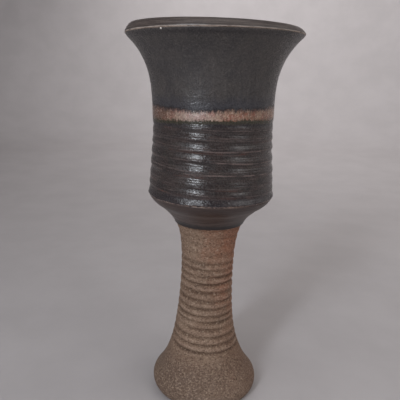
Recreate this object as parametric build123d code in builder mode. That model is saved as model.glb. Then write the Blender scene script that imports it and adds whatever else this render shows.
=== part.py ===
from build123d import *

import os
from math import exp, hypot, pi, sin

# Communion chalice in wheel-thrown stoneware.
#
# A flared cup is luted with slip to a hollow pedestal stem. The cup carries five fired coats: a liner
# that runs over the lip, an upper coat, a band, a lower coat over the throwing rings, and a thin collar
# coat that crosses the joint to the bare stem. Every piece is a section revolved about Z.
#
# Lengths are in millimetres, +Z is up, and the origin is the centre of the foot on the table. A point
# of a section is (radius, height), and an outline runs from its lowest point upward.

# Heights
joint_height = 110.0  # underside of the cup
slip_thickness = 0.6
stem_top = joint_height - slip_thickness
shoulder_height = 116.4  # the wall turns under here, and the lower coat ends in a bead
waist_height = 150.0  # narrowest part of the cup
band_bottom = 156.4
band_top = 161.6
tip_height = 196.9  # outer edge of the lip
glaze_line = 100.3  # lowest edge of the collar coat, on the stem

# Cup
shoulder_radius = 32.85
waist_radius = 30.8
tip_radius = 44.5
flare_power = 4  # the flare starts slowly and turns out late
cup_wall = 4.1
cup_floor = 6.0
lip_inset = 3.1  # the face of the lip leans in and up from the tip to the crest
lip_height = 3.65
lip_bulge = 0.35
shoulder_bulge = (30.2, 112.7)  # the turn under the shoulder passes through this point
bowl_corner = [(11.0, 0.5), (19.0, 3.4), (24.2, 9.5)]  # radius, and rise above the bowl's floor
bowl_corner_top = 140.0  # the bowl follows the outside from here up

# Stem: a straight waist with an exponential flare at each end
stem_waist = 13.85
foot_flare = 24.3
foot_reach = 18.6
top_flare = 12.2
top_reach = 8.8
bore_waist = 8.7
bore_foot_flare = 17.0
bore_foot_reach = 22.0
bore_top_flare = 11.5
bore_top_reach = 8.0

# Foot
foot_inner_radius = 24.9
foot_contact_radius = 27.0
foot_widest = (30.0, 4.6)
foot_edge_top = 9.0
foot_inner_top = 3.5

# Throwing rings, as pairs of a groove and the crest above it
wall_rings = 7
wall_ring_start = 118.7
wall_ring_pitch = 5.8
wall_ring_depth = 0.50
stem_rings = 18
stem_ring_start = 28.6
stem_ring_pitch = 4.08
stem_ring_squeeze = 3.0  # the rings crowd together low on the stem and open out again
stem_ring_span = 14
stem_ring_depth = 0.45
stem_ring_fade_height = 84.0  # the rings soften above this height
stem_ring_fade_length = 22.0

# Coats
glaze_coat = 0.40
band_coat = 0.45
collar_coat = 0.25
liner_coat = 0.30
bead_swell = 0.25  # the lower coat gathers in a fatter bead at its bottom edge
fillet_drop = 3.0  # slip squeezed out inside the hollow
fillet_reach = 2.0


def stem_radius(z):
    """Radius of the stem's outside without its throwing rings."""
    return stem_waist + foot_flare * exp(-z / foot_reach) + top_flare * exp((z - stem_top) / top_reach)


def bore_radius(z):
    """Radius of the hollow inside the stem."""
    foot = bore_foot_flare * exp(-z / bore_foot_reach)
    return bore_waist + foot + bore_top_flare * exp((z - stem_top) / bore_top_reach)


def wall_radius(z):
    """Radius of the cup's outside without its throwing rings."""
    if z < waist_height:
        share = (waist_height - z) / (waist_height - shoulder_height)
        return waist_radius + (shoulder_radius - waist_radius) * share
    share = (z - waist_height) / (tip_height - waist_height)
    return waist_radius + (tip_radius - waist_radius) * share**flare_power


def heights(low, high, count):
    """Evenly spaced heights, both ends included."""
    return [low + (high - low) * i / (count - 1) for i in range(count)]


def shifted(points, distance):
    """The points moved square to their outline, outward for an outline that runs up."""
    moved = []
    for i, (r, z) in enumerate(points):
        r0, z0 = points[max(i - 1, 0)]
        r1, z1 = points[min(i + 1, len(points) - 1)]
        length = hypot(r1 - r0, z1 - z0)
        moved.append((r + distance * (z1 - z0) / length, z - distance * (r1 - r0) / length))
    return moved


def ringed_wall():
    """Lower wall of the cup, a groove and a crest for each throwing ring."""
    points = [(shoulder_radius, shoulder_height)]
    for i in range(wall_rings):
        groove = wall_ring_start + wall_ring_pitch * i
        crest = groove + wall_ring_pitch / 2
        points.append((wall_radius(groove) - wall_ring_depth, groove))
        if crest < band_bottom:
            points.append((wall_radius(crest), crest))
    points.append((wall_radius(band_bottom), band_bottom))
    return points


def ringed_stem():
    """Outside of the stem from the smooth foot up to the glaze line."""
    points = [(stem_radius(z), z) for z in heights(foot_edge_top, stem_ring_start - stem_ring_pitch, 4)]
    for i in range(stem_rings):
        turn = pi * min(i / stem_ring_span, 1.0)
        groove = stem_ring_start + stem_ring_pitch * i - stem_ring_squeeze * sin(turn)
        crest = groove + stem_ring_pitch / 2
        fade = min(1.0, exp((stem_ring_fade_height - groove) / stem_ring_fade_length))
        points.append((stem_radius(groove) - stem_ring_depth * fade, groove))
        if crest < glaze_line - stem_ring_pitch / 4:
            points.append((stem_radius(crest), crest))
    points.append((stem_radius(glaze_line), glaze_line))
    return points


def level_coat(under, distance):
    """Outer side of a coat over the points, with both its ends cut off level."""
    over = shifted(under, distance)
    over[0] = (under[0][0] + distance, under[0][1])
    over[-1] = (under[-1][0] + distance, under[-1][1])
    return over


def coat_outline(under, over):
    """Outline of a coat that lies between two open curves."""
    Spline(*under)
    Line(under[-1], over[-1])
    Spline(*over)
    Line(over[0], under[0])


# Outlines that two pieces share
seat_radius = stem_radius(stem_top)
fillet_bottom = stem_top - fillet_drop
stem_side = ringed_stem()
stem_throat = [(stem_radius(z), z) for z in heights(glaze_line, stem_top, 5)]
bore_side = [(bore_radius(z), z) for z in heights(foot_inner_top, fillet_bottom, 12)]
bore_mouth = [(bore_radius(z), z) for z in heights(fillet_bottom, stem_top, 3)]
lower_wall = ringed_wall()
band_wall = [(wall_radius(z), z) for z in heights(band_bottom, band_top, 3)]
upper_wall = [(wall_radius(z), z) for z in heights(band_top, tip_height, 9)]
bowl_floor = joint_height + cup_floor
bowl_base = [(0, bowl_floor)] + [(r, bowl_floor + rise) for r, rise in bowl_corner]
cup_side = [(wall_radius(z), z) for z in heights(bowl_corner_top, tip_height, 10)]
tip = upper_wall[-1]
crest = (tip[0] - lip_inset, tip[1] + lip_height)
bowl_wall = bowl_base + shifted(cup_side, -cup_wall)[:-1] + [crest]
lip_chord = [crest, ((tip[0] + crest[0]) / 2, (tip[1] + crest[1]) / 2), tip]
lip_face = [crest, shifted(lip_chord, -lip_bulge)[1], tip]

# Cup: the thrown bowl, a flat seat below and a squared-off lip above
with BuildPart() as cup:
    with BuildSketch(Plane.XZ):
        with BuildLine():
            Line((0, joint_height), (seat_radius, joint_height))
            ThreePointArc((seat_radius, joint_height), shoulder_bulge, lower_wall[0])
            Spline(*lower_wall)
            Spline(*band_wall)
            Spline(*upper_wall)
            ThreePointArc(*reversed(lip_face))
            Spline(*bowl_wall)
            Line((0, bowl_floor), (0, joint_height))
        make_face()
    revolve(axis=Axis.Z)
cup.part.label = "cup"

# Stem: the hollow pedestal, a trumpet top, a ringed waist and a spreading foot
with BuildPart() as stem:
    with BuildSketch(Plane.XZ):
        with BuildLine():
            Line((foot_inner_radius, 0), (foot_contact_radius, 0))
            ThreePointArc((foot_contact_radius, 0), foot_widest, stem_side[0])
            Spline(*stem_side)
            Spline(*stem_throat)
            Line(stem_throat[-1], bore_mouth[-1])
            Spline(*bore_mouth)
            Spline(*bore_side)
            Line(bore_side[0], (foot_inner_radius, 0))
        make_face()
    revolve(axis=Axis.Z)
stem.part.label = "stem"

# Luting slip: the seam between stem and cup, with its fillet inside the hollow
with BuildPart() as luting_slip:
    fillet_edge = (bore_mouth[0][0] - fillet_reach, joint_height)
    with BuildSketch(Plane.XZ):
        with BuildLine():
            Spline(*bore_mouth)
            Line(bore_mouth[-1], stem_throat[-1])
            Line(stem_throat[-1], (seat_radius, joint_height))
            Line((seat_radius, joint_height), fillet_edge)
            Line(fillet_edge, bore_mouth[0])
        make_face()
    revolve(axis=Axis.Z)
luting_slip.part.label = "luting_slip"

# Liner glaze: the inside of the bowl and the face of the lip
with BuildPart() as liner_glaze:
    liner_top = shifted(bowl_wall, -liner_coat)
    lip_coat = shifted(lip_face, -liner_coat)
    liner_top[0] = (0, bowl_floor + liner_coat)
    liner_top[-1] = lip_coat[0]
    with BuildSketch(Plane.XZ):
        with BuildLine():
            Spline(*bowl_wall)
            ThreePointArc(*lip_face)
            Line(tip, lip_coat[-1])
            ThreePointArc(*reversed(lip_coat))
            Spline(*liner_top)
            Line(liner_top[0], bowl_wall[0])
        make_face()
    revolve(axis=Axis.Z)
liner_glaze.part.label = "liner_glaze"

# Upper glaze: the satin coat on the flare
with BuildPart() as upper_glaze:
    upper_coat = level_coat(upper_wall, glaze_coat)
    upper_coat[-1] = shifted(upper_wall, glaze_coat)[-1]
    with BuildSketch(Plane.XZ):
        with BuildLine():
            coat_outline(upper_wall, upper_coat)
        make_face()
    revolve(axis=Axis.Z)
upper_glaze.part.label = "upper_glaze"

# Band glaze: the rust and tan band
with BuildPart() as band_glaze:
    with BuildSketch(Plane.XZ):
        with BuildLine():
            coat_outline(band_wall, level_coat(band_wall, band_coat))
        make_face()
    revolve(axis=Axis.Z)
band_glaze.part.label = "band_glaze"

# Lower glaze: the glossy coat over the throwing rings, with its bead at the shoulder
with BuildPart() as lower_glaze:
    lower_coat = level_coat(lower_wall, glaze_coat)
    lower_coat[0] = (shoulder_radius + glaze_coat + bead_swell, shoulder_height)
    with BuildSketch(Plane.XZ):
        with BuildLine():
            coat_outline(lower_wall, lower_coat)
        make_face()
    revolve(axis=Axis.Z)
lower_glaze.part.label = "lower_glaze"

# Collar glaze: the thin coat under the shoulder, across the seam and down to the bare stem
with BuildPart() as collar_glaze:
    under_shoulder = shifted([(seat_radius, joint_height), shoulder_bulge, lower_wall[0]], collar_coat)
    under_shoulder[-1] = (shoulder_radius + collar_coat, shoulder_height)
    throat_coat = shifted(stem_throat, collar_coat)
    with BuildSketch(Plane.XZ):
        with BuildLine():
            Spline(*stem_throat)
            Line(stem_throat[-1], (seat_radius, joint_height))
            ThreePointArc((seat_radius, joint_height), shoulder_bulge, lower_wall[0])
            Line(lower_wall[0], under_shoulder[-1])
            ThreePointArc(*reversed(under_shoulder))
            Line(under_shoulder[0], throat_coat[-1])
            Spline(*throat_coat)
            Line(throat_coat[0], stem_throat[0])
        make_face()
    revolve(axis=Axis.Z)
collar_glaze.part.label = "collar_glaze"

os.makedirs("parts", exist_ok=True)
for piece in (cup, stem, luting_slip, liner_glaze, upper_glaze, band_glaze, lower_glaze, collar_glaze):
    export_step(piece.part, f"parts/{piece.part.label}.step")
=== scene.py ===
"""Looks for the communion chalice: thrown stoneware with real rings, ragged glaze edges and grog.

Sections are worked out in millimetres as (radius, height) grids, one row per height and one column
per direction round the axis, and written to meshes in metres in the frame of the CAD model.
"""

import math

import bpy
import numpy as np
from mathutils import Matrix, Vector


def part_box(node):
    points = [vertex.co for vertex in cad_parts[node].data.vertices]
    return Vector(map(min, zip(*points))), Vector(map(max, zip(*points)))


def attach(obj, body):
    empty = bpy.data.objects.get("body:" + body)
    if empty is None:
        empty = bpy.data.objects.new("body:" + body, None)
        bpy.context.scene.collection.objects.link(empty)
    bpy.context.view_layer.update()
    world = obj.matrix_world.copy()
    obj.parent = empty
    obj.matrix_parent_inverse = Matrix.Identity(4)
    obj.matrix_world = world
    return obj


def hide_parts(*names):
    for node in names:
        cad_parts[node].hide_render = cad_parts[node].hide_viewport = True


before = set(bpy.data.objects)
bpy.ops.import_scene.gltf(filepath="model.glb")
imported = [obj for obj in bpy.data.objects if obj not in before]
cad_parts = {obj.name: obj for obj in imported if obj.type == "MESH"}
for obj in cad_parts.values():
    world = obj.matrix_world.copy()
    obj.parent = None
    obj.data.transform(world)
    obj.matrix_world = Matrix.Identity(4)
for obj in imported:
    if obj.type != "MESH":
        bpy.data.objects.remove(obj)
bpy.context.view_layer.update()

MM = 0.001
PI = math.pi


# ---------------------------------------------------------------- sizes, from the frame

def low(node):
    """Lowest height of a CAD node, in millimetres."""
    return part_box(node)[0].z / MM


def high(node):
    """Highest height of a CAD node, in millimetres."""
    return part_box(node)[1].z / MM


def reach(node):
    """Largest radius of a CAD node, in millimetres."""
    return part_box(node)[1].x / MM


JOINT = low("cup")  # underside of the cup
STEM_TOP = high("stem")
SHOULDER = low("lower_glaze")
BAND_BOTTOM = low("band_glaze")
BAND_TOP = high("band_glaze")
TIP = high("upper_glaze")  # outer edge of the lip
CREST = high("cup")
GLAZE_LINE = low("collar_glaze") + 0.1
TIP_RADIUS = reach("cup")
SEAT_RADIUS = reach("luting_slip")
FOOT_RADIUS = reach("stem")

# The rest of the outline, which the boxes of the CAD nodes do not give
WAIST = 150.0  # narrowest height of the cup
WAIST_RADIUS = 30.8
SHOULDER_RADIUS = 32.85
FLARE_POWER = 4
CUP_WALL = 4.1
CUP_FLOOR = 6.0
LIP_INSET = 3.1
LIP_BULGE = 0.35
SHOULDER_BULGE = (30.2, 112.7)
STEM_WAIST = 13.85
FOOT_FLARE, FOOT_REACH = 24.3, 18.6
TOP_FLARE, TOP_REACH = 12.2, 8.8
BORE_WAIST = 8.7
BORE_FOOT_FLARE, BORE_FOOT_REACH = 17.0, 22.0
BORE_TOP_FLARE, BORE_TOP_REACH = 11.5, 8.0
FOOT_EDGE_TOP = 9.0
FOOT_CONTACT = 27.0
FOOT_INNER = 24.9
FOOT_INNER_TOP = 3.5  # the hollow under the foot is bevelled up to here
FOOT_WIDEST = 4.6  # height of the widest place of the foot
FRONT = -PI / 2  # direction of the side that faces the camera

COLUMNS = 360  # directions round the axis
TURN = np.arange(COLUMNS) * 2 * PI / COLUMNS


def smooth(x):
    """Smooth step from 0 to 1."""
    x = np.clip(x, 0, 1)
    return x * x * (3 - 2 * x)


def peak(x, width):
    """Bell-shaped peak: 1 where x is 0, falling away over this width."""
    return np.exp(-((x / width) ** 2))


def wrapped(angle):
    """Angle brought to between -PI and PI."""
    return np.mod(angle + PI, 2 * PI) - PI


def drift(seed, turn, z, waves, length, count=9):
    """Soft uneven field, about -1 to 1: up to so many waves round, and over such a length along."""
    rng = np.random.default_rng(seed)
    field = np.zeros(np.broadcast(turn, z).shape)
    for _ in range(count):
        around = rng.integers(-waves, waves + 1)
        along = rng.uniform(0.3, 1.0) * rng.choice((-1, 1)) / length
        field += np.cos(around * turn + 2 * PI * along * z + rng.uniform(0, 2 * PI))
    return field / math.sqrt(count)


def ragged(seed, size, finest=110, softness=9):
    """Uneven edge round the piece, in millimetres, with streaks as fine as its last harmonic."""
    rng = np.random.default_rng(seed)
    line = np.zeros(COLUMNS)
    for k in range(1, finest):
        line += rng.normal() * np.cos(k * TURN + rng.uniform(0, 2 * PI)) / (1 + k / softness)
    return size * line / line.std()


# ---------------------------------------------------------------- the thrown surfaces

def wall_radius(z):
    """Outside of the cup without its rings."""
    below = WAIST_RADIUS + (SHOULDER_RADIUS - WAIST_RADIUS) * (WAIST - z) / (WAIST - SHOULDER)
    share = np.clip((z - WAIST) / (TIP - WAIST), 0, 1.05)
    above = WAIST_RADIUS + (TIP_RADIUS - WAIST_RADIUS) * share**FLARE_POWER
    return np.where(z < WAIST, below, above)


def stem_radius(z):
    """Outside of the stem without its rings."""
    foot = FOOT_FLARE * np.exp(-z / FOOT_REACH)
    return STEM_WAIST + foot + TOP_FLARE * np.exp((z - STEM_TOP) / TOP_REACH)


def bore_radius(z):
    """Inside of the hollow stem."""
    foot = BORE_FOOT_FLARE * np.exp(-z / BORE_FOOT_REACH)
    return BORE_WAIST + foot + BORE_TOP_FLARE * np.exp((z - STEM_TOP) / BORE_TOP_REACH)


CREST_PART = 0.24  # a crest stands this far up its ring


def ridge(phase):
    """One ring of a thrown wall, 0 in the groove and 1 on its sharp crest, by position in the ring."""
    part = phase % 1
    falling = 1 - smooth((part - CREST_PART) / (1 - CREST_PART))
    return np.where(part < CREST_PART, smooth(part / CREST_PART), falling)


# Rings of the cup from the shoulder up, as the hand left them: the height of each crest at the front,
# the depth of the ring above it, and how far the crest breaks through the glaze
WALL_CRESTS = (116.1, 121.9, 125.6, 131.7, 137.7, 143.3, 148.1, 152.8, 157.5, 162.5, 167.5, 172.5, 177.5)
WALL_DEPTHS = (1.0, 0.55, 0.6, 1.2, 1.2, 1.1, 0.4, 0.6, 0.9, 1.0, 1.0, 1.0, 1.0)
WALL_BARED = (0.3, 0.7, 0.45, 1.1, 0.9, 0.7, 0.25, 0.3, 0, 0, 0, 0, 0)
WALL_RING_DEPTH = 0.62
MINOR_RING_DEPTH = 0.16  # finer rings, two and five to each main one
FINE_RING_DEPTH = 0.11
FLARE_RING_DEPTH = 0.045  # traces of the rings above the band

# Rings of the stem from the foot up: the height of each groove at the front
STEM_GROOVES = (
    21.0, 25.0, 29.0, 33.0, 36.9, 41.9, 45.9, 49.0, 53.5, 58.0, 62.7, 68.0, 72.1, 75.8, 79.5,
    85.4, 90.7, 95.0, 99.5, 104.0,
)
STEM_RING_DEPTH = 0.92
SHALLOW_GROOVE = STEM_GROOVES[5]  # the fingers pressed less here
FAINT_ABOVE = 86  # the grooves are faint above this height
RINGS_FROM = 24.5  # the foot is smooth below this height
LUMP = 0.5  # radius of a small lump of glaze


def wall_phase(z, turn):
    """Rings counted up the cup along the potter's spiral."""
    waver = 0.07 * drift(11, turn, z, 2, 9) + 0.025 * drift(12, turn, z, 9, 3)
    count = np.interp(z, WALL_CRESTS, np.arange(len(WALL_CRESTS)))
    return count + CREST_PART + (turn - FRONT) / (2 * PI) + waver


def wall_relief(z, turn):
    """Rings of the cup at each place: depth, share of a pale crest (glaze broken thin, painted paler
    towards the front as a glint), share of a line of painted shade in the fine grooves, and phase.
    """
    phase = wall_phase(z, turn)
    minor_phase = 2 * phase + 0.30
    fine_phase = 5 * phase + 0.1
    strength = 0.80 + 0.20 * drift(13, turn, z, 3, 7)
    within = smooth((z - SHOULDER - 0.8) / 3.0) * smooth((BAND_BOTTOM + 1.0 - z) / 3.5)
    minor = np.clip(0.5 + 0.6 * drift(14, turn, z, 4, 5), 0, 1.2)
    fine = np.clip(0.6 + 0.5 * drift(15, turn, z, 5, 6), 0, 1.3)
    count = phase - CREST_PART - (turn - FRONT) / (2 * PI)
    ring = np.interp(count - 0.4, np.arange(len(WALL_DEPTHS)), WALL_DEPTHS)
    shown = np.interp(count, np.arange(len(WALL_BARED)), WALL_BARED)
    depth = WALL_RING_DEPTH * strength * ring * (1 - ridge(phase))
    depth = depth + MINOR_RING_DEPTH * minor * (1 - ridge(minor_phase))
    depth = depth + FINE_RING_DEPTH * fine * (1 - ridge(fine_phase))
    on_flare = smooth((z - BAND_TOP) / 4) * smooth((TIP - 10 - z) / 12)
    above = FLARE_RING_DEPTH * (1 - ridge(phase)) * on_flare
    facing = wrapped(turn - FRONT)
    # Painted glint: crest threads are painted paler towards the front; the rest of their paleness is glaze
    # broken thin on the crests.
    front_glint = 0.35 + 0.65 * smooth((facing + 0.75) / 0.5) * smooth((1.9 - facing) / 1.2)
    crest = peak(phase % 1 - CREST_PART + 0.01, 0.036) * np.clip(strength, 0, 1.2) * front_glint * shown
    crest = crest + 0.3 * minor * peak(minor_phase % 1 - 0.22, 0.09)
    crest = crest + 0.2 * fine * peak(fine_phase % 1 - 0.22, 0.16)
    # Painted shade: the bottoms of the fine rings are painted darker.
    fine_groove_shade = fine * peak((fine_phase + 0.25) % 1 - 0.25, 0.16)
    return depth * within + above, crest * within, fine_groove_shade * within, phase


def stem_phase(z, turn):
    """Rings counted up the stem along the potter's spiral."""
    waver = 0.05 * drift(21, turn, z, 2, 10) + 0.035 * drift(22, turn, z, 10, 3)
    count = np.interp(z, STEM_GROOVES, np.arange(len(STEM_GROOVES)))
    return count + (turn - FRONT) / (2 * PI) + waver


def stem_relief(z, turn):
    """Depth of the rings on the stem, and the share of a full groove and of a full ridge at each place."""
    phase = stem_phase(z, turn)
    groove = (0.5 + 0.5 * np.cos(2 * PI * phase)) ** 2.1
    strength = 0.86 + 0.20 * drift(23, turn, z, 3, 8) - 0.35 * peak(z - SHALLOW_GROOVE, 2.4)
    low_end = smooth((z - STEM_GROOVES[2] + 2.6) / 2.2)
    high_end = 0.27 + 0.73 * smooth((FAINT_ABOVE - z) / 12)
    faint = 0.05 * (0.5 + 0.5 * np.cos(2 * PI * (3 * phase + 0.2)))
    crown = (0.5 - 0.5 * np.cos(2 * PI * phase)) ** 1.6
    here = strength * low_end * high_end
    depth = (STEM_RING_DEPTH * strength * groove + faint) * low_end * high_end
    return depth, groove * here, crown * here


def hand(z, turn):
    """Out-of-round swell of a hand-thrown wall, drawn in a little at the lip."""
    swell = 0.09 * np.cos(2 * turn + 0.7 + z / 90) + 0.03 * drift(31, turn, z, 3, 40)
    return swell - 0.16 * smooth((z - TIP + 14) / 10)


def bump_at(z, turn, height, direction, rise):
    """Small round lump of glaze at a height and a direction, in degrees from the front."""
    off = wrapped(turn - FRONT - math.radians(direction))
    across = wall_radius(height) * off
    return rise * np.exp(-((z - height) ** 2 + across**2) / LUMP**2)


def bow(z):
    """Sideways shift along X: the pedestal leans, its stem bows, and the cup's flare leans a little."""
    pedestal = -0.35 * smooth((JOINT + 6 - z) / 14) - 0.8 * peak(z - 42, 26)
    return pedestal - 0.42 * smooth((z - 152) / 28)


def settle(z, turn):
    """How the lip sags below level: its outer tip most on the left, and its crest most on the right."""
    aside = np.sin(turn - FRONT)
    share = np.clip((z - TIP) / (CREST - TIP), 0, 1)
    sag = (1 - share) * (0.40 * aside - 0.48) - share * (0.44 * aside + 0.43)
    return sag * smooth((z - WAIST) / (TIP - WAIST))


# ---------------------------------------------------------------- meshes

def moved(r, z, distance):
    """The grid moved square to its surface, outward where the rows run up."""
    dr = np.gradient(r, axis=0)
    dz = np.gradient(z, axis=0)
    size = np.hypot(dr, dz)
    return r + distance * dz / size, z - distance * dr / size


def grid(r, z):
    """Radius and height spread to full grids."""
    shape = (max(len(np.atleast_1d(z)), len(np.atleast_1d(r))), COLUMNS)
    r = np.asarray(r, float)
    z = np.asarray(z, float)
    r = r[:, None] if r.ndim == 1 else r
    z = z[:, None] if z.ndim == 1 else z
    return np.broadcast_to(r, shape).copy(), np.broadcast_to(z, shape).copy()


def turned(name, r, z, closed=True, marks=None):
    """Closed mesh from rows of a section: up the outside, then down the inside.

    An open section starts and ends on the axis. marks holds one grid per named point attribute.
    """
    rows = len(r)
    r = r + hand(z, TURN) * smooth(r / 15)
    x = r * np.cos(TURN) + bow(z)
    y = r * np.sin(TURN)
    points = np.stack([x, y, z + settle(z, TURN)], axis=-1).reshape(-1, 3) * MM
    index = np.arange(rows * COLUMNS).reshape(rows, COLUMNS)
    right = np.roll(index, -1, axis=1)
    last = rows if closed else rows - 1
    quads = []
    for j in range(last):
        k = (j + 1) % rows
        quads.append(np.stack([index[j], right[j], right[k], index[k]], axis=-1))
    faces = np.concatenate(quads).tolist()
    if not closed:
        first_pole, last_pole = rows * COLUMNS, rows * COLUMNS + 1
        poles = [[bow(z[0, 0]), 0, z[0].mean()], [bow(z[-1, 0]), 0, z[-1].mean()]]
        points = np.concatenate([points, np.array(poles) * MM])
        faces += [[first_pole, b, a] for a, b in zip(index[0].tolist(), right[0].tolist())]
        faces += [[a, b, last_pole] for a, b in zip(index[-1].tolist(), right[-1].tolist())]
    mesh = bpy.data.meshes.new(name)
    mesh.from_pydata(points.tolist(), [], faces)
    mesh.validate()
    for mark, values in (marks or {}).items():
        attribute = mesh.attributes.new(mark, "FLOAT", "POINT")
        flat = np.zeros(len(points), np.float32)
        flat[: rows * COLUMNS] = np.asarray(values, np.float32).reshape(-1)
        attribute.data.foreach_set("value", flat)
    mesh.shade_smooth()
    piece = bpy.data.objects.new(name, mesh)
    bpy.context.scene.collection.objects.link(piece)
    return piece


def shell(name, outer, inner, marks=None):
    """Closed skin between two grids whose rows both run up."""
    r = np.concatenate([outer[0], inner[0][::-1]])
    z = np.concatenate([outer[1], inner[1][::-1]])
    full = {}
    for mark, values in (marks or {}).items():
        full[mark] = np.concatenate([values, np.zeros_like(inner[0])])
    return turned(name, r, z, marks=full)


def spread(low_edge, high_edge, rows):
    """Heights between two edges, a row at a time; an edge is a number or one height per column."""
    share = np.linspace(0, 1, rows)[:, None]
    return (1 - share) * np.broadcast_to(low_edge, COLUMNS) + share * np.broadcast_to(high_edge, COLUMNS)


def arc(p0, p1, p2, count):
    """Points along the circle through three points."""
    (ax, ay), (bx, by), (cx, cy) = p0, p1, p2
    d = 2 * (ax * (by - cy) + bx * (cy - ay) + cx * (ay - by))
    a, b, c = ax * ax + ay * ay, bx * bx + by * by, cx * cx + cy * cy
    ux = (a * (by - cy) + b * (cy - ay) + c * (ay - by)) / d
    uy = (a * (cx - bx) + b * (ax - cx) + c * (bx - ax)) / d
    start, end = math.atan2(ay - uy, ax - ux), math.atan2(cy - uy, cx - ux)
    middle = math.atan2(by - uy, bx - ux)
    sweep = (end - start) % (2 * PI)
    if (middle - start) % (2 * PI) > sweep:
        sweep -= 2 * PI
    angles = start + sweep * np.linspace(0, 1, count)
    radius = math.hypot(ax - ux, ay - uy)
    return ux + radius * np.cos(angles), uy + radius * np.sin(angles)


def curve(points, count):
    """Smooth line through a few points, as evenly spaced radii and heights."""
    spline_r = np.array([p[0] for p in points], float)
    spline_z = np.array([p[1] for p in points], float)
    steps = np.concatenate([[0], np.cumsum(np.hypot(np.diff(spline_r), np.diff(spline_z)))])
    slope_r = np.gradient(spline_r, steps)
    slope_z = np.gradient(spline_z, steps)
    at = np.linspace(0, steps[-1], count)
    i = np.clip(np.searchsorted(steps, at, side="right") - 1, 0, len(steps) - 2)
    width = steps[i + 1] - steps[i]
    t = (at - steps[i]) / width
    h00, h10 = 2 * t**3 - 3 * t**2 + 1, t**3 - 2 * t**2 + t
    h01, h11 = -2 * t**3 + 3 * t**2, t**3 - t**2
    r = h00 * spline_r[i] + h10 * width * slope_r[i] + h01 * spline_r[i + 1] + h11 * width * slope_r[i + 1]
    z = h00 * spline_z[i] + h10 * width * slope_z[i] + h01 * spline_z[i + 1] + h11 * width * slope_z[i + 1]
    return r, z


def finish_piece(piece, node, material):
    """Everything a piece needs: its body, the CAD node it stands for and its material."""
    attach(piece, "root")
    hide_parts(node)
    piece.data.materials.append(material)


# ---------------------------------------------------------------- glaze edges

from_front = TURN - FRONT
high_side = peak(wrapped(from_front - math.radians(50)), math.radians(40))  # the band stands higher here
band_top_edge = BAND_TOP + 0.35 - 0.70 * np.cos(2 * from_front) - 0.45 * np.sin(from_front)
band_top_edge += 1.6 * high_side + ragged(41, 0.26) * (1 + high_side)
band_bottom_edge = BAND_BOTTOM - 0.05 + 0.45 * np.cos(2 * from_front) + 0.70 * np.sin(from_front)
band_bottom_edge += ragged(42, 0.12)
shoulder_edge = SHOULDER + ragged(43, 0.14, 60)
stem_edge = GLAZE_LINE + 0.25 * np.cos(TURN + 1.0) + ragged(44, 0.10, 40, 5)
tip_gap = 0.07 + ragged(45, 0.02, 60)  # width of the bare thread along the tip of the lip


# ---------------------------------------------------------------- sections that several pieces share

CREST_RADIUS = TIP_RADIUS - LIP_INSET
LIP_LENGTH = math.hypot(LIP_INSET, CREST - TIP)
BOWL_FLOOR = JOINT + CUP_FLOOR
BOWL_CORNER = [(0.0, 0.0), (11.0, 0.5), (19.0, 3.4), (24.2, 9.5)]
LINER, GLAZE, BAND, COLLAR = 0.30, 0.40, 0.45, 0.25  # thickness of each coat
SUNK = 0.05  # a coat's hidden side lies this far inside the clay
ROUNDING = 0.8  # of the crest of the lip
LIP_LINE_DEPTH = 0.045
BOWL_ROWS, BOWL_RING_PITCH, BOWL_RING_DEPTH = 165, 5.2, 0.28
BORE_RING_PITCH, BORE_RING_DEPTH = 5.5, 0.30
POOL_RADIUS, POOL_DEPTH = 13, 0.25  # liner glaze gathered in the middle of the bowl
BEAD_SWELL = 0.28  # of the lower coat at the shoulder
COLLAR_BEAD = 0.16
HIDDEN_STEP = 4  # the hidden side of the liner has one row for so many of the side that shows


def clay_wall(z):
    """Clay surface of the cup's outside at these heights."""
    return wall_radius(z) - wall_relief(z, TURN)[0]


def clay_stem(z):
    """Clay surface of the stem's outside at these heights."""
    return stem_radius(z) - stem_relief(z, TURN)[0]


def lip(share):
    """The squared-off face of the lip, from its crest at 0 to its outer tip at 1."""
    across, rise = TIP_RADIUS - CREST_RADIUS, TIP - CREST
    arch = 4 * share * (1 - share)  # 0 at both edges of the face and 1 halfway
    wander = 4.2 * share + 0.25 * np.sin(TURN)
    lines = LIP_LINE_DEPTH * np.sin(2 * PI * wander) * np.sqrt(np.clip(arch, 0, 1))
    proud = (LIP_BULGE * arch + lines * (1 + 0.6 * np.sin(2 * TURN + 0.6))) / LIP_LENGTH
    uneven = 0.05 * np.sin(3 * TURN + 1.0)
    r = CREST_RADIUS + across * share - rise * proud
    z = CREST + rise * share + across * proud + uneven * share
    return r, z


def bend(start, corner, end, rows):
    """Rounded corner between two rows of points."""
    t = np.linspace(0, 1, rows)[:, None]
    return [(1 - t) ** 2 * a + 2 * t * (1 - t) * b + t**2 * c for a, b, c in zip(start, corner, end)]


def joined(*parts):
    """One grid from several, in order."""
    return np.concatenate([p[0] for p in parts]), np.concatenate([p[1] for p in parts])


def last_row(part):
    """Last row of a grid."""
    return part[0][-1:], part[1][-1:]


def first_row(part):
    """First row of a grid."""
    return part[0][:1], part[1][:1]


def between_ends(part):
    """A grid without its first and last rows."""
    return part[0][1:-1], part[1][1:-1]


def every(part, step):
    """One row in so many of a grid, from its last row back if the step is negative."""
    return part[0][::step], part[1][::step]


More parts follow.
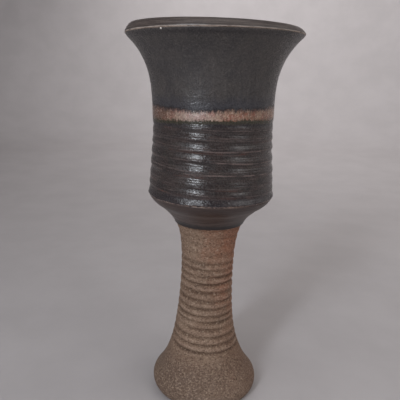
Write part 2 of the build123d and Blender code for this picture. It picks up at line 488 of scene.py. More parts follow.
def bowl_side():
    """Clay surface inside the bowl, from near the axis out and up to just short of the crest."""
    height = np.linspace(WAIST - 10, TIP, 10)
    wall = moved(wall_radius(height), height, -CUP_WALL)
    points = [(r, BOWL_FLOOR + rise) for r, rise in BOWL_CORNER] + list(zip(*wall))
    points[-1] = (CREST_RADIUS, CREST)
    r, z = curve(points, BOWL_ROWS)
    along = np.concatenate([[0], np.cumsum(np.hypot(np.diff(r), np.diff(z)))])
    r, z = grid(r, z)
    phase = along[:, None] / BOWL_RING_PITCH - (TURN - FRONT) / (2 * PI) + 0.07 * drift(51, TURN, z, 3, 12)
    fade = smooth((along[-1] - along[:, None]) / 14) * (0.65 + 0.35 * drift(52, TURN, z, 2, 25))
    r, z = moved(r, z, BOWL_RING_DEPTH * fade * (0.5 + 0.5 * np.cos(2 * PI * phase)) ** 1.5)
    kept = (along > 1.0) & (along < along[-1] - ROUNDING)
    return r[kept], z[kept]


def lip_side(end, rows):
    """Face of the lip from just past its crest to these shares of the way to the tip."""
    return lip(spread(ROUNDING / LIP_LENGTH, end, rows))


def foot_edge():
    """Rounded edge of the foot, from the table up to the flare."""
    top = (float(stem_radius(FOOT_EDGE_TOP)), FOOT_EDGE_TOP)
    return grid(*arc((FOOT_CONTACT, 0), (FOOT_RADIUS - 0.05, FOOT_WIDEST), top, 20))


bowl = bowl_side()
lip_corner = grid([CREST_RADIUS], [CREST])


# ---------------------------------------------------------------- the clay pieces

def make_cup():
    """Thrown bowl under its coats; only a thread of clay shows at the tip of the lip."""
    seat = grid(np.linspace(1.0, SEAT_RADIUS, 12), np.full(12, JOINT))
    under = grid(*arc((SEAT_RADIUS, JOINT), SHOULDER_BULGE, (SHOULDER_RADIUS, SHOULDER), 16))
    z = spread(SHOULDER + 0.2, TIP - 0.35, 130)
    wall = (clay_wall(z), z)
    face = lip_side(1 - 0.35 / LIP_LENGTH, 24)
    edge = bend(last_row(wall), grid([TIP_RADIUS], [TIP]), last_row(face), 6)
    face = every(face, -2)
    crest = bend(last_row(face), lip_corner, last_row(bowl), 7)
    r, z = joined(seat, under, wall, edge, face, crest, every(bowl, -3))
    return turned("cup_body", r, z, closed=False)


def make_stem():
    """Hollow pedestal: ringed waist, smooth foot, thrown bore and trimmed foot ring."""
    edge = foot_edge()
    low_z = spread(FOOT_EDGE_TOP + 0.5, RINGS_FROM - 0.3, 18)
    ring_z = spread(RINGS_FROM, GLAZE_LINE + 1.5, 172)
    top_z = spread(GLAZE_LINE + 2.0, STEM_TOP, 8)
    outside = [edge] + [(clay_stem(z), z) for z in (low_z, ring_z, top_z)]
    bore_z = spread(FOOT_INNER_TOP, STEM_TOP, 40)[::-1]
    phase = bore_z / BORE_RING_PITCH - (TURN - FRONT) / (2 * PI) + 0.1 * drift(61, TURN, bore_z, 3, 12)
    bore_ring = BORE_RING_DEPTH * (0.5 + 0.5 * np.cos(2 * PI * phase)) * smooth((bore_z - 8) / 6)
    bore = (bore_radius(bore_z) + bore_ring, bore_z)
    bevel_r = np.linspace(bore_radius(FOOT_INNER_TOP), FOOT_INNER, 6)
    bevel = grid(bevel_r[1:], np.linspace(FOOT_INNER_TOP, 0.25, 6)[1:])
    ring = grid([FOOT_INNER + 0.25, FOOT_INNER + 1.2, FOOT_CONTACT - 0.4], [0, 0, 0])
    r, z = joined(*outside, bore, bevel, ring)
    _, groove, ridges = stem_relief(z, TURN)
    inner_rows = len(bore[0]) + len(bevel[0]) + len(ring[0])
    groove[-inner_rows:] = 0
    ridges[-inner_rows:] = 0
    return turned("stem_body", r, z, marks={"groove": groove, "ridge": ridges})


def make_slip():
    """Luting slip between stem and cup, with the uneven fillet that squeezed out inside."""
    z = spread(STEM_TOP - 3.0, STEM_TOP, 8)
    mouth = (bore_radius(z), z)
    seam = grid(np.linspace(bore_radius(STEM_TOP) + 0.5, SEAT_RADIUS - 0.05, 5), np.full(5, STEM_TOP))
    top = grid(np.linspace(SEAT_RADIUS, mouth[0][0].mean() - 1.2, 10), np.full(10, JOINT))
    lumps = 0.5 * drift(71, TURN, np.zeros(1)[:, None], 14, 10)
    start = last_row(top)
    end = first_row(mouth)
    corner_r = start[0] * 0.35 + end[0] * 0.65 - 0.2 + lumps * 0.5
    corner_z = start[1] * 0.6 + end[1] * 0.4 + 0.3 * lumps
    fillet = bend(start, (corner_r, corner_z), end, 9)
    r, z = joined(mouth, seam, top, between_ends(fillet))
    return turned("slip_seam", r, z)


# ---------------------------------------------------------------- the coats

def make_liner():
    """Liner glaze: the inside of the bowl, over the crest and down the face of the lip."""
    face = lip_side(1 - tip_gap / LIP_LENGTH, 34)
    crest = bend(last_row(bowl), lip_corner, first_row(face), 7)
    clay = joined(bowl, between_ends(crest), face)
    rows = len(clay[0])
    taper = np.clip((rows - 1 - np.arange(rows)) / 5, 0, 1)[:, None]
    pooled = POOL_DEPTH * peak(clay[0], POOL_RADIUS) * (clay[1] < JOINT + 30)
    thick = LINER * (0.35 + 0.65 * np.sqrt(taper)) + pooled
    glassy = moved(*clay, -thick)
    hidden = every(moved(*clay, SUNK), HIDDEN_STEP)
    steps = np.hypot(np.diff(clay[0], axis=0), np.diff(clay[1], axis=0))
    run = np.concatenate([np.zeros((1, COLUMNS)), np.cumsum(steps, axis=0)])
    from_tip = run[-1] - run
    height = np.arange(rows)[:, None] / rows + 0 * TURN
    r = np.concatenate([hidden[0], glassy[0][::-1]])
    z = np.concatenate([hidden[1], glassy[1][::-1]])
    marks = {
        "from_tip": np.concatenate([from_tip[::HIDDEN_STEP], from_tip[::-1]]),
        "bowl": np.concatenate([height[::HIDDEN_STEP], height[::-1]]),
    }
    return turned("liner_coat", r, z, closed=False, marks=marks)


def make_upper():
    """Upper glaze: the satin coat on the flare, thin where it breaks at the tip of the lip."""
    top_edge = TIP - 0.12 - 0.62 * tip_gap
    z = spread(band_top_edge, top_edge, 130)
    taper = smooth((TIP - 0.1 - z) / 1.1)
    clay = (clay_wall(z), z)
    thick = GLAZE * (0.3 + 0.7 * taper) + 0.03 * drift(81, TURN, z, 20, 8)
    outer = moved(*clay, thick + bump_at(z, TURN, TIP - 0.45, -31, 0.22))
    inner_z = spread(band_top_edge, top_edge, 60)
    inner = moved(clay_wall(inner_z), inner_z, -SUNK)
    above = z - band_top_edge
    # Painted glint: a near-white spot painted on the small lump at the tip of the lip.
    lip_glint = bump_at(z, TURN, TIP - 0.15, -31, 1.0)
    return shell("upper_coat", outer, inner, {"below_tip": TIP - z, "above": above, "lip_glint": lip_glint})


def make_band():
    """Band glaze: broken rust and tan between ragged edges."""
    z = spread(band_bottom_edge, band_top_edge, 26)
    outer = moved(clay_wall(z), z, BAND + 0.04 * drift(82, TURN, z, 60, 3))
    inner_z = spread(band_bottom_edge, band_top_edge, 12)
    inner = moved(clay_wall(inner_z), inner_z, -SUNK)
    across = (z - band_bottom_edge) / (band_top_edge - band_bottom_edge)
    # Painted shade: the band is painted darker towards its left and right sides as seen from the front,
    # most on the left.
    shaded = 0.50 - 0.38 * np.cos(2 * from_front) - 0.25 * np.sin(from_front)
    side_shade = smooth(shaded + 0.22 * drift(86, TURN, z, 6, 20))
    # Painted highlight: a pale patch left of the front, where the window's highlight falls on the band.
    band_highlight = peak(wrapped(from_front + math.radians(14)), 0.30) + 0 * z
    return shell("band_coat", outer, inner, {"across": across, "side_shade": side_shade, "band_highlight": band_highlight})


# Lumps on the lower coat: height, direction in degrees from the front, and rise
LUMPS = [(153.3, 13, 0.34), (140.6, 39, 0.16), (128.4, -62, 0.18), (145.2, 118, 0.2), (124.0, 171, 0.22)]


def make_lower():
    """Lower glaze: glossy over the throwing rings, gathered in a bead at the shoulder."""
    share = np.linspace(0, 1, 186)[:, None] ** 1.12  # the rows crowd towards the bead
    z = shoulder_edge + share * (band_bottom_edge - shoulder_edge)
    depth, crest, fine_groove_shade, phase = wall_relief(z, TURN)
    above = z - shoulder_edge
    swell = BEAD_SWELL * peak(above - 0.75, 0.8) * (1 + 0.5 * drift(83, TURN, z, 30, 20))
    edge = np.sqrt(np.clip(above / 0.7, 0.02, 1))
    thick = (GLAZE - 0.14 * np.clip(crest, 0, 1) + swell) * edge
    for height, direction, rise in LUMPS:
        thick += bump_at(z, TURN, height, direction, rise)
    outer = moved(wall_radius(z) - depth, z, thick)
    inner_z = spread(shoulder_edge, band_bottom_edge, 80)
    inner = moved(clay_wall(inner_z), inner_z, -SUNK)
    rust = peak(phase % 1 - 0.07, 0.10) * np.clip(0.45 + 0.9 * drift(84, TURN, z, 4, 9), 0, 1.3)
    under_band = band_bottom_edge - z
    marks = {"crest": crest, "rust": rust, "fine_groove_shade": fine_groove_shade, "above": above, "under_band": under_band}
    return shell("lower_coat", outer, inner, marks)


def make_collar():
    """Collar glaze: the thin coat under the shoulder and down the throat to its dark lower edge."""
    throat_z = spread(stem_edge, STEM_TOP - 1.2, 44)
    throat = (stem_radius(throat_z), throat_z)
    under_r, under_z = arc((SEAT_RADIUS, JOINT), SHOULDER_BULGE, (SHOULDER_RADIUS, SHOULDER), 40)
    under = grid(under_r[6:], under_z[6:])
    seam = bend(last_row(throat), grid([SEAT_RADIUS - 0.1], [JOINT - 0.35]), first_row(under), 9)
    clay = joined(throat, between_ends(seam), under)
    z = clay[1]
    above = z - stem_edge
    bead = COLLAR_BEAD * peak(above - 0.5, 0.6)
    wiped = 0.035 * np.cos(2 * PI * (z / 1.55 + (TURN - FRONT) / (2 * PI))) * drift(85, TURN, z, 3, 4)
    thick = (COLLAR + bead + wiped) * np.sqrt(np.clip(above / 0.45, 0.04, 1))
    outer = moved(*clay, thick)
    inner = moved(*clay, -SUNK)
    # Painted highlight along the seam at the joint, where a slight ridge catches the light.
    seam_highlight = peak(z - JOINT + 0.2, 0.9)
    return shell("collar_coat", outer, inner, {"above": above, "seam": seam_highlight})


# ---------------------------------------------------------------- material nodes

def tone(red, green, blue):
    """Linear colour from 0 to 255 screen values."""
    return tuple(((c / 255 + 0.055) / 1.055) ** 2.4 for c in (red, green, blue)) + (1.0,)


class Surface:
    """A principled material and the few kinds of node that the stoneware and glazes are made from."""

    def __init__(self, name):
        self.material = bpy.data.materials.new(name)
        self.material.use_nodes = True
        self.nodes = self.material.node_tree.nodes
        self.shader = self.nodes["Principled BSDF"]
        self.place = self.nodes.new("ShaderNodeTexCoord").outputs["Object"]

    def link(self, value, socket):
        """Feed a socket from another socket, or set it to a fixed value."""
        if isinstance(value, bpy.types.NodeSocket):
            self.material.node_tree.links.new(value, socket)
        else:
            socket.default_value = value

    def noise(self, size, detail=4.0, rough=0.55, stretch=(1, 1, 1), offset=0.0):
        """Noise whose features are about this many millimetres across, stretched along an axis."""
        mapping = self.nodes.new("ShaderNodeMapping")
        mapping.inputs["Scale"].default_value = [1 / (size * MM * s) for s in stretch]
        mapping.inputs["Location"].default_value = (offset, offset * 0.7, offset * 1.3)
        self.link(self.place, mapping.inputs["Vector"])
        node = self.nodes.new("ShaderNodeTexNoise")
        node.inputs["Scale"].default_value = 1.0
        node.inputs["Detail"].default_value = detail
        node.inputs["Roughness"].default_value = rough
        self.link(mapping.outputs["Vector"], node.inputs["Vector"])
        return node.outputs["Fac"]

    def specks(self, size, share, offset=0.0, blur=0.16):
        """Round specks in cells of this size; share is how much of the surface they cover."""
        mapping = self.nodes.new("ShaderNodeMapping")
        mapping.inputs["Scale"].default_value = [1 / (size * MM)] * 3
        mapping.inputs["Location"].default_value = (offset, offset, offset)
        self.link(self.place, mapping.inputs["Vector"])
        cells = self.nodes.new("ShaderNodeTexVoronoi")
        cells.inputs["Scale"].default_value = 1.0
        self.link(mapping.outputs["Vector"], cells.inputs["Vector"])
        pick = self.nodes.new("ShaderNodeSeparateColor")
        self.link(cells.outputs["Color"], pick.inputs["Color"])
        radius = self.math("MULTIPLY", self.math("SUBTRACT", pick.outputs["Red"], 1.0 - share), 0.5 / share)
        return self.span(self.math("SUBTRACT", radius, cells.outputs["Distance"]), -blur, blur)

    def mark(self, name):
        """A point attribute that the mesh carries."""
        node = self.nodes.new("ShaderNodeAttribute")
        node.attribute_name = name
        return node.outputs["Fac"]

    def axis(self, letter):
        """Position along an axis, in metres."""
        node = self.nodes.new("ShaderNodeSeparateXYZ")
        self.link(self.place, node.inputs["Vector"])
        return node.outputs[letter]

    def math(self, operation, a, b=0.0):
        """One step of arithmetic on one or two values."""
        node = self.nodes.new("ShaderNodeMath")
        node.operation = operation
        self.link(a, node.inputs[0])
        self.link(b, node.inputs[1])
        return node.outputs["Value"]

    def span(self, value, start, end, low_value=0.0, high_value=1.0):
        """Value mapped smoothly from start..end to the two limits."""
        node = self.nodes.new("ShaderNodeMapRange")
        node.interpolation_type = "SMOOTHSTEP"
        self.link(value, node.inputs["Value"])
        node.inputs["From Min"].default_value = start
        node.inputs["From Max"].default_value = end
        node.inputs["To Min"].default_value = low_value
        node.inputs["To Max"].default_value = high_value
        return node.outputs["Result"]

    def mix(self, share, a, b):
        """Colour a turning to colour b."""
        node = self.nodes.new("ShaderNodeMix")
        node.data_type = "RGBA"
        self.link(share, node.inputs["Factor"])
        self.link(a, node.inputs["A"])
        self.link(b, node.inputs["B"])
        return next(o for o in node.outputs if o.type == "RGBA")

    def tint(self, colour, share, strength, towards):
        """Colour turned towards another by share times strength."""
        return self.mix(self.math("MULTIPLY", share, strength), colour, towards)

    def bump(self, height, depth, strength=1.0, under=None):
        """Relief this many millimetres deep for a height from 0 to 1."""
        node = self.nodes.new("ShaderNodeBump")
        node.inputs["Strength"].default_value = strength
        node.inputs["Distance"].default_value = depth * MM
        self.link(height, node.inputs["Height"])
        if under is not None:
            self.link(under, node.inputs["Normal"])
        return node.outputs["Normal"]

    def finish(self, colour, roughness, normal, **fixed):
        """The finished material; fixed values are set on the shader's own sockets."""
        self.link(colour, self.shader.inputs["Base Color"])
        self.link(roughness, self.shader.inputs["Roughness"])
        self.link(normal, self.shader.inputs["Normal"])
        for name, value in fixed.items():
            self.shader.inputs[name.replace("_", " ")].default_value = value
        return self.material


def stoneware(name, pale, dark, toasted, toast=1.0):
    """Bare fired stoneware: toasted patches, grooves darkened partly by settled slurry and partly as
    painted shade, ridges lightened as a painted highlight, fine grain and grog.
    """
    s = Surface(name)
    cloud = s.noise(24, 3, 0.6, offset=3.1)
    colour = s.mix(s.span(cloud, 0.36, 0.64), dark, pale)
    foot = s.span(s.axis("Z"), 0.034, 0.014, 0.0, 0.65)
    colour = s.mix(foot, colour, tone(98, 83, 73))
    side = s.math("ADD", s.math("MULTIPLY", s.axis("X"), 36.0), s.math("MULTIPLY", s.axis("Z"), 5.0))
    patch = s.math("ADD", side, s.math("MULTIPLY", s.noise(14, 4, 0.6, offset=8.0), 1.6))
    raised = s.math("MULTIPLY", s.span(s.axis("Z"), 0.028, 0.060, 0.15, 1.0), toast)
    colour = s.tint(colour, s.span(patch, 1.0, 1.85), raised, toasted)
    # Painted highlight: the ridges of the rings are painted paler, as where they catch the light.
    colour = s.tint(colour, s.mark("ridge"), 0.34, tone(158, 136, 120))
    # Darker grooves: partly slurry settled in them, partly painted shade in the hollows.
    colour = s.tint(colour, s.mark("groove"), 0.74, tone(70, 51, 39))
    grain = s.noise(0.85, 3, 0.65, stretch=(1.25, 1.25, 0.9))
    colour = s.tint(colour, s.span(grain, 0.52, 0.68), 0.60, tone(168, 147, 127))
    colour = s.tint(colour, s.span(grain, 0.47, 0.35), 0.70, tone(78, 59, 47))
    dashes = s.noise(0.8, 2, 0.6, stretch=(2.4, 2.4, 0.7), offset=11.0)
    colour = s.tint(colour, s.span(dashes, 0.58, 0.68), 0.62, tone(68, 50, 40))
    colour = s.tint(colour, s.specks(0.9, 0.14, 1.7), 0.40, tone(176, 158, 140))
    colour = s.tint(colour, s.specks(0.85, 0.16, 5.3), 0.60, tone(62, 46, 38))
    grit = s.noise(0.6, 4, 0.7)
    lumps = s.noise(1.5, 3, 0.55, stretch=(1.3, 1.3, 0.7))
    normal = s.bump(grit, 0.13, 0.9)
    normal = s.bump(lumps, 0.26, 0.7, normal)
    rough = s.span(s.noise(3, 3), 0.3, 0.7, 0.70, 0.88)
    return s.finish(colour, rough, normal, Specular_IOR_Level=0.3)


def upper_glaze():
    """Satin charcoal, faintly mottled and speckled, bluer above the band, darker just under the tip, with a
    painted glint on a lump at the lip.
    """
    s = Surface("upper_glaze")
    mottle = s.noise(10, 4, 0.55)
    colour = s.mix(s.span(mottle, 0.36, 0.64), tone(56, 53, 53), tone(65, 61, 59))
    runs = s.noise(1.1, 3, 0.5, stretch=(1, 1, 12), offset=2.0)
    colour = s.tint(colour, s.span(runs, 0.50, 0.70), 0.34, tone(84, 79, 76))
    speckle = s.noise(0.75, 3, 0.65, offset=6.0)
    colour = s.tint(colour, s.span(speckle, 0.53, 0.68), 0.50, tone(94, 89, 86))
    colour = s.tint(colour, s.span(speckle, 0.46, 0.34), 0.52, tone(33, 30, 31))
    uneven = s.math("MULTIPLY", s.noise(1.6, 3, 0.6, stretch=(1, 1, 3)), 6.0)
    fringe = s.math("ADD", s.mark("above"), uneven)
    colour = s.mix(s.span(fringe, 4.0, 10.5, 0.6, 0.0), colour, tone(50, 50, 57))
    colour = s.mix(s.span(fringe, 2.8, 4.0, 0.6, 0.0), colour, tone(30, 27, 28))
    below_tip = s.mark("below_tip")
    # A darker zone just under the tip of the lip.
    darker_under_tip = s.math("MULTIPLY", s.span(below_tip, 0.35, 1.3), s.span(below_tip, 2.8, 1.7))
    colour = s.tint(colour, darker_under_tip, 0.42, tone(30, 27, 31))
    colour = s.mix(s.span(below_tip, 0.30, 0.14, 0.0, 0.3), colour, tone(120, 108, 100))
    # Painted glint on the lump at the lip.
    colour = s.mix(s.span(s.mark("lip_glint"), 0.25, 0.70), colour, tone(232, 226, 218))
    skin = s.bump(s.noise(1.2, 3, 0.62), 0.20, 1.0)
    rough = s.span(s.noise(0.9, 2, 0.6, offset=4.0), 0.40, 0.60, 0.22, 0.44)
    return s.finish(colour, rough, skin)


def band_glaze():
    """Broken rust and tan with dark runs: painted shade towards the sides, a painted highlight left of the
    front, olive below.
    """
    s = Surface("band_glaze")
    cloud = s.noise(3.6, 5, 0.65)
    colour = s.mix(s.span(cloud, 0.40, 0.60), tone(136, 89, 72), tone(155, 128, 108))
    # Painted shade towards the sides of the band.
    colour = s.tint(colour, s.mark("side_shade"), 0.86, tone(79, 56, 45))
    dashes = s.noise(0.5, 3, 0.65, stretch=(1, 1, 2.1), offset=1.0)
    colour = s.tint(colour, s.span(dashes, 0.50, 0.64), 0.62, tone(82, 60, 52))
    flecks = s.noise(0.5, 2, 0.6, stretch=(1, 1, 1.5), offset=7.0)
    colour = s.tint(colour, s.span(flecks, 0.53, 0.68), 0.60, tone(196, 168, 154))
    # Painted highlight on the band, left of the front.
    colour = s.tint(colour, s.mark("band_highlight"), 0.30, tone(208, 198, 194))
    blots = s.noise(1.5, 4, 0.65, stretch=(1, 1, 0.8), offset=17.0)
    colour = s.tint(colour, s.span(blots, 0.52, 0.64), 0.50, tone(90, 66, 57))
    across = s.mark("across")
    streaks = s.noise(0.7, 3, 0.6, stretch=(1, 1, 3), offset=3.0)
    edge = s.math("ADD", across, s.math("MULTIPLY", s.math("SUBTRACT", streaks, 0.5), 1.0))
    colour = s.mix(s.span(edge, 0.60, 1.04), colour, tone(46, 39, 40))
    colour = s.mix(s.span(edge, 0.22, -0.02), colour, tone(62, 54, 40))
    normal = s.bump(blots, 0.16, 0.9)
    normal = s.bump(dashes, 0.05, 0.8, normal)
    return s.finish(colour, s.span(flecks, 0.4, 0.7, 0.18, 0.34), normal)


def lower_glaze():
    """Glossy black over the rings: pale threads on the crests (painted paler towards the front as a glint),
    rust under them, painted shade in the fine grooves, bluer near the bead, and pale dashes on the bead's
    edge, partly thin glaze and partly painted highlight.
    """
    s = Surface("lower_glaze")
    cloud = s.noise(6, 5, 0.6, stretch=(1, 1, 0.5))
    colour = s.mix(s.span(cloud, 0.38, 0.62), tone(41, 36, 36), tone(50, 42, 40))
    moss = s.noise(8, 3, 0.6, stretch=(1, 1, 0.6), offset=12.0)
    colour = s.tint(colour, s.span(moss, 0.54, 0.66), 0.3, tone(48, 48, 43))
    rust_patch = s.span(s.noise(7, 3, 0.6, stretch=(1, 1, 0.4), offset=3.0), 0.40, 0.62)
    rust = s.math("MULTIPLY", s.mark("rust"), rust_patch)
    colour = s.tint(colour, rust, 0.8, tone(80, 50, 42))
    lines = s.noise(0.9, 4, 0.65, stretch=(9, 9, 0.36), offset=9.0)
    colour = s.tint(colour, s.span(lines, 0.53, 0.67), 0.46, tone(90, 79, 75))
    colour = s.tint(colour, s.span(lines, 0.46, 0.34), 0.40, tone(28, 24, 26))
    crest_patch = s.span(s.noise(6, 4, 0.7, stretch=(1.6, 1.6, 0.3), offset=6.0), 0.38, 0.58)
    crest = s.math("MULTIPLY", s.mark("crest"), crest_patch)
    # Pale crest threads: glaze broken thin on the crests, painted paler towards the front as a glint.
    colour = s.tint(colour, crest, 0.72, tone(150, 130, 124))
    blue = s.span(s.mark("above"), 2.0, 6.5, 0.40, 0.0)
    colour = s.mix(blue, colour, tone(38, 35, 42))
    # Painted shade in the fine grooves.
    colour = s.tint(colour, s.mark("fine_groove_shade"), 0.55, tone(25, 20, 21))
    speckle = s.noise(0.6, 3, 0.65, offset=5.0)
    colour = s.tint(colour, s.span(speckle, 0.54, 0.68), 0.34, tone(88, 79, 75))
    colour = s.tint(colour, s.span(speckle, 0.46, 0.34), 0.45, tone(26, 22, 24))
    strip = s.math("SUBTRACT", s.mark("under_band"), s.math("MULTIPLY", s.noise(2.0, 3), 1.4))
    colour = s.mix(s.span(strip, -0.2, 1.3, 0.85, 0.0), colour, tone(56, 53, 40))
    shadow = s.span(s.math("ABSOLUTE", s.math("SUBTRACT", strip, 1.4)), 0.0, 1.6, 0.5, 0.0)
    colour = s.mix(shadow, colour, tone(36, 35, 40))
    # Pale dashes along the lower edge of the glaze: partly glaze gone thin at its edge, partly painted
    # highlight on the bead.
    thin_edge_and_glints = s.span(s.mark("above"), 0.35, 0.85, 0.95, 0.0)
    beads = s.span(s.noise(0.9, 3, 0.6, stretch=(1.6, 1.6, 0.6), offset=13.0), 0.38, 0.58)
    colour = s.tint(colour, thin_edge_and_glints, beads, tone(138, 118, 108))
    orange_peel = s.noise(1.2, 3, 0.62, offset=2.0)
    skin = s.bump(orange_peel, 0.15, 1.0)
    coarse = s.span(s.mark("above"), 4.0, 8.0, 1.0, 0.0)
    skin = s.bump(s.math("MULTIPLY", s.noise(1.7, 3, 0.6, offset=21.0), coarse), 0.30, 1.0, skin)
    pits = s.noise(0.9, 2, 0.6, offset=4.0)
    rough = s.span(pits, 0.42, 0.58, 0.10, 0.38)
    return s.finish(colour, rough, skin)


def collar_glaze():
    """Thin matt brown, wiped round, with painted shade under the shoulder, a painted highlight along the
    seam and a blue-black lower edge.
    """
    s = Surface("collar_glaze")
    wiped = s.noise(5, 4, 0.6, stretch=(2.5, 2.5, 0.16))
    colour = s.mix(s.span(wiped, 0.38, 0.62), tone(62, 51, 48), tone(86, 73, 68))
    fine = s.noise(0.7, 3, 0.6, stretch=(1.5, 1.5, 0.8), offset=2.0)
    colour = s.tint(colour, s.span(fine, 0.52, 0.70), 0.4, tone(88, 76, 72))
    # Painted shade: darker towards the top of the collar, under the shoulder.
    colour = s.mix(s.span(s.mark("above"), 8.6, 11.5, 0.0, 0.55), colour, tone(56, 43, 40))
    # Painted highlight along the seam.
    colour = s.tint(colour, s.mark("seam"), 0.45, tone(98, 88, 84))
    lower = s.math("ADD", s.mark("above"), s.math("MULTIPLY", s.noise(3, 3, 0.6), 1.6))
    colour = s.mix(s.span(lower, 2.2, 5.0, 0.9, 0.0), colour, tone(31, 28, 29))
    colour = s.mix(s.span(s.mark("above"), 0.4, 1.2, 0.85, 0.0), colour, tone(44, 31, 27))
    skin = s.bump(s.noise(0.7, 4, 0.6), 0.06, 0.8)
    skin = s.bump(wiped, 0.10, 0.6, skin)
    return s.finish(colour, s.span(wiped, 0.35, 0.65, 0.34, 0.48), skin)


def liner_glaze():
    """Brown-grey satin on the lip, streaked round by the wheel; darker and glossier in the bowl."""
    s = Surface("liner_glaze")
    streaks = s.noise(1.1, 4, 0.6, stretch=(9, 9, 0.36))
    lip_tone = s.mix(s.span(streaks, 0.38, 0.62), tone(59, 50, 47), tone(84, 74, 69))
    deep_tone = s.mix(s.span(s.noise(9, 4, 0.6), 0.38, 0.62), tone(40, 36, 34), tone(62, 54, 46))
    up = s.span(s.mark("bowl"), 0.70, 0.86)
    colour = s.mix(up, deep_tone, lip_tone)
    speckle = s.noise(0.7, 3, 0.6, offset=6.0)
    colour = s.tint(colour, s.span(speckle, 0.54, 0.70), 0.40, tone(104, 92, 84))
    colour = s.tint(colour, s.span(speckle, 0.46, 0.34), 0.40, tone(40, 34, 32))
    thread = s.span(s.noise(1.4, 3, 0.6, stretch=(3, 3, 1), offset=15.0), 0.36, 0.56, 0.35, 0.95)
    from_tip = s.mark("from_tip")
    groove = s.math("MULTIPLY", s.span(from_tip, 0.30, 0.60), s.span(from_tip, 1.25, 0.75))
    colour = s.tint(colour, groove, 0.40, tone(40, 32, 30))
    colour = s.tint(colour, s.span(from_tip, 0.34, 0.12), thread, tone(190, 178, 168))
    skin = s.bump(s.noise(0.8, 3, 0.55), 0.05, 0.7)
    skin = s.bump(streaks, 0.06, 0.6, skin)
    rough = s.span(s.noise(6, 4, 0.6, offset=4.0), 0.35, 0.65, 0.34, 0.48)
    return s.finish(colour, rough, skin)


# ---------------------------------------------------------------- put together

BARE = dict(pale=tone(136, 113, 95), dark=tone(120, 96, 79), toasted=tone(144, 98, 76))
FIRED = dict(pale=tone(172, 156, 144), dark=tone(142, 124, 112), toasted=tone(150, 124, 108))
MAKERS = [
    (make_cup, "cup", "cup_clay", stoneware("cup_clay", toast=0.2, **FIRED)),
    (make_stem, "stem", "stem_clay", stoneware("stem_clay", **BARE)),
    (make_slip, "luting_slip", "slip", stoneware("slip", toast=0.2, **BARE)),
    (make_liner, "liner_glaze", "liner", liner_glaze()),
    (make_upper, "upper_glaze", "upper", upper_glaze()),
    (make_band, "band_glaze", "band", band_glaze()),
    (make_lower, "lower_glaze", "lower", lower_glaze()),
    (make_collar, "collar_glaze", "collar", collar_glaze()),
]
for make, node, slot, material in MAKERS:
    finish_piece(make(), node, material)


# ---------------------------------------------------------------- stage, lights and camera

def studio_bowl():
    """Plain pale floor that curves up into a wall all round."""
    profile = [(0.0, 0.0), (0.85, 0.0), (1.05, 0.02), (1.2, 0.12), (1.3, 0.32), (1.35, 0.6), (1.37, 1.4)]
    radius, height = curve(profile, 60)
    steps = 96
    turn = np.arange(steps) * 2 * PI / steps
    points = [(0, 0, 0)]
    faces = []
    for j in range(1, len(radius)):
        for i in range(steps):
            points.append((radius[j] * math.cos(turn[i]), radius[j] * math.sin(turn[i]), height[j]))
    for i in range(steps):
        faces.append((0, 1 + i, 1 + (i + 1) % steps))
    for j in range(len(radius) - 2):
        for i in range(steps):
            a, b = 1 + j * steps + i, 1 + j * steps + (i + 1) % steps
            faces.append((a, a + steps, b + steps, b))
    mesh = bpy.data.meshes.new("floor")
    mesh.from_pydata(points, [], faces)
    mesh.shade_smooth()
    floor = bpy.data.objects.new("floor", mesh)
    bpy.context.scene.collection.objects.link(floor)
    s = Surface("floor")
    colour = s.mix(s.span(s.noise(60, 4, 0.6), 0.3, 0.7), tone(178, 173, 173), tone(184, 179, 179))
    floor.data.materials.append(s.finish(colour, 0.7, s.bump(s.noise(1.5, 3), 0.03, 0.3)))


def softbox(name, azimuth, elevation, distance, width, height, power, colour, target):
    """Area light that faces the target; azimuth 0 stands on the camera's side, and 90 at +X."""
    a, e = math.radians(azimuth), math.radians(elevation)
    away = Vector((math.sin(a) * math.cos(e), -math.cos(a) * math.cos(e), math.sin(e)))
    light = bpy.data.lights.new(name, "AREA")
    light.shape = "RECTANGLE"
    light.size, light.size_y = width, height
    light.energy = power
    light.color = colour
    lamp = bpy.data.objects.new(name, light)
    lamp.location = target + away * distance
    lamp.rotation_euler = (-away).to_track_quat("-Z", "Y").to_euler()
    bpy.context.scene.collection.objects.link(lamp)


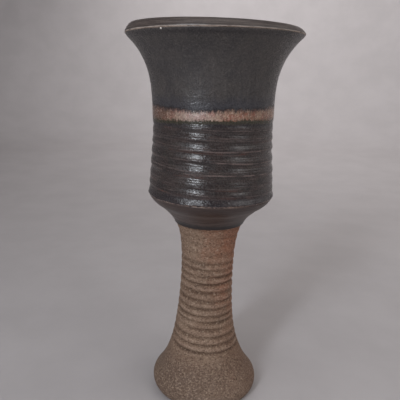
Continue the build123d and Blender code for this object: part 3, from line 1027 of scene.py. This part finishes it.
studio_bowl()
middle = Vector((0, 0, 0.12))  # of the object
back_wall = Vector((0.6, 1.2, 0.35))
softbox("window", -29, 24, 0.95, 0.10, 0.54, 3.9, (0.90, 0.955, 1.03), middle)
softbox("sill", -29, 9, 0.95, 0.12, 0.26, 0.6, (0.93, 0.96, 1.0), middle)
softbox("fill", -48, 31, 1.1, 1.0, 0.7, 1.5, (0.98, 0.99, 1.0), middle)
softbox("door", 52, 22, 0.95, 0.42, 0.40, 0.85, (0.97, 0.98, 1.0), middle)
softbox("edge", 112, 12, 1.1, 0.8, 0.5, 0.20, (1.0, 0.98, 0.97), middle)
softbox("room", 78, 38, 1.15, 1.2, 0.7, 2.8, (1.0, 0.97, 0.94), middle)
softbox("overhead", 10, 80, 1.2, 1.2, 1.2, 3.0, (1.0, 0.99, 0.98), middle)
softbox("wall_wash", -60, 30, 0.9, 0.5, 0.5, 4.6, (1.0, 0.985, 0.985), back_wall)
world = bpy.data.worlds.new("room_light")
world.use_nodes = True
world.node_tree.nodes["Background"].inputs["Color"].default_value = (0.80, 0.80, 0.82, 1)
world.node_tree.nodes["Background"].inputs["Strength"].default_value = 0.18
bpy.context.scene.world = world
bpy.context.scene.view_settings.view_transform = "Standard"

# The camera stands close, a little below the lip, and looks down at the stem.
CAMERA_ASIDE, CAMERA_DISTANCE, CAMERA_HEIGHT = -0.00035, 0.2442, 0.1767
CAMERA_YAW, CAMERA_DOWN, CAMERA_ROLL = math.radians(-1.232), math.radians(14.93), math.radians(1.542)
look = Vector((
    math.sin(CAMERA_YAW) * math.cos(CAMERA_DOWN),
    math.cos(CAMERA_YAW) * math.cos(CAMERA_DOWN),
    -math.sin(CAMERA_DOWN),
))
level = Vector((math.cos(CAMERA_YAW), -math.sin(CAMERA_YAW), 0))
upward = level.cross(look)
side = math.cos(CAMERA_ROLL) * level + math.sin(CAMERA_ROLL) * upward
top = -math.sin(CAMERA_ROLL) * level + math.cos(CAMERA_ROLL) * upward
camera = bpy.data.cameras.new("camera")
camera.sensor_width = 36.0
camera.lens = 41.85
camera.clip_start = 0.01
camera_object = bpy.data.objects.new("camera", camera)
aim = Matrix((side, top, -look)).transposed().to_4x4()
camera_object.matrix_world = Matrix.Translation((CAMERA_ASIDE, -CAMERA_DISTANCE, CAMERA_HEIGHT)) @ aim
bpy.context.scene.collection.objects.link(camera_object)
bpy.context.scene.camera = camera_object
